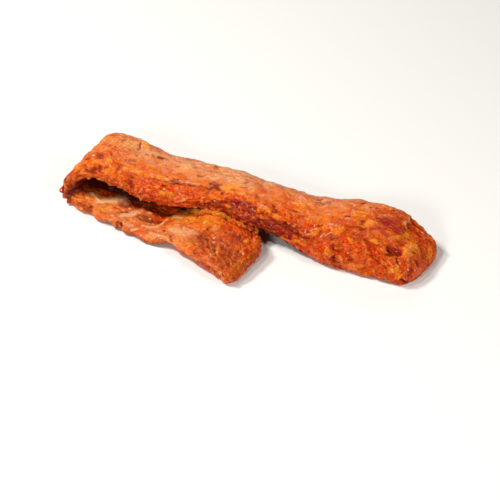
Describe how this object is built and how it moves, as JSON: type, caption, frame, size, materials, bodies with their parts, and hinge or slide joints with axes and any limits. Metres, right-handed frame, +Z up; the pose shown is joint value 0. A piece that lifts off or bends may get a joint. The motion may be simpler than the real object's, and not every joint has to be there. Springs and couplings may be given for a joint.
{
  "type": "rack of ribs",
  "caption": "Marinated rack of ribs lying meat side up, with one end folded under as a tail that shows its rib side.",
  "frame": {"origin": "middle of the bounding box, on the surface that the rack lies on", "axes": "+X along the upper run towards its thick free end, +Y across it away from the tail, +Z up"},
  "size_m": [0.3522, 0.1466, 0.0482],
  "materials": {
    "marinated_meat": "wet marinade over uneven meat, orange-brown with dark red and yellow patches"
  },
  "bodies": {
    "root": {"rack": "marinated_meat"}
  },
  "joints": []
}
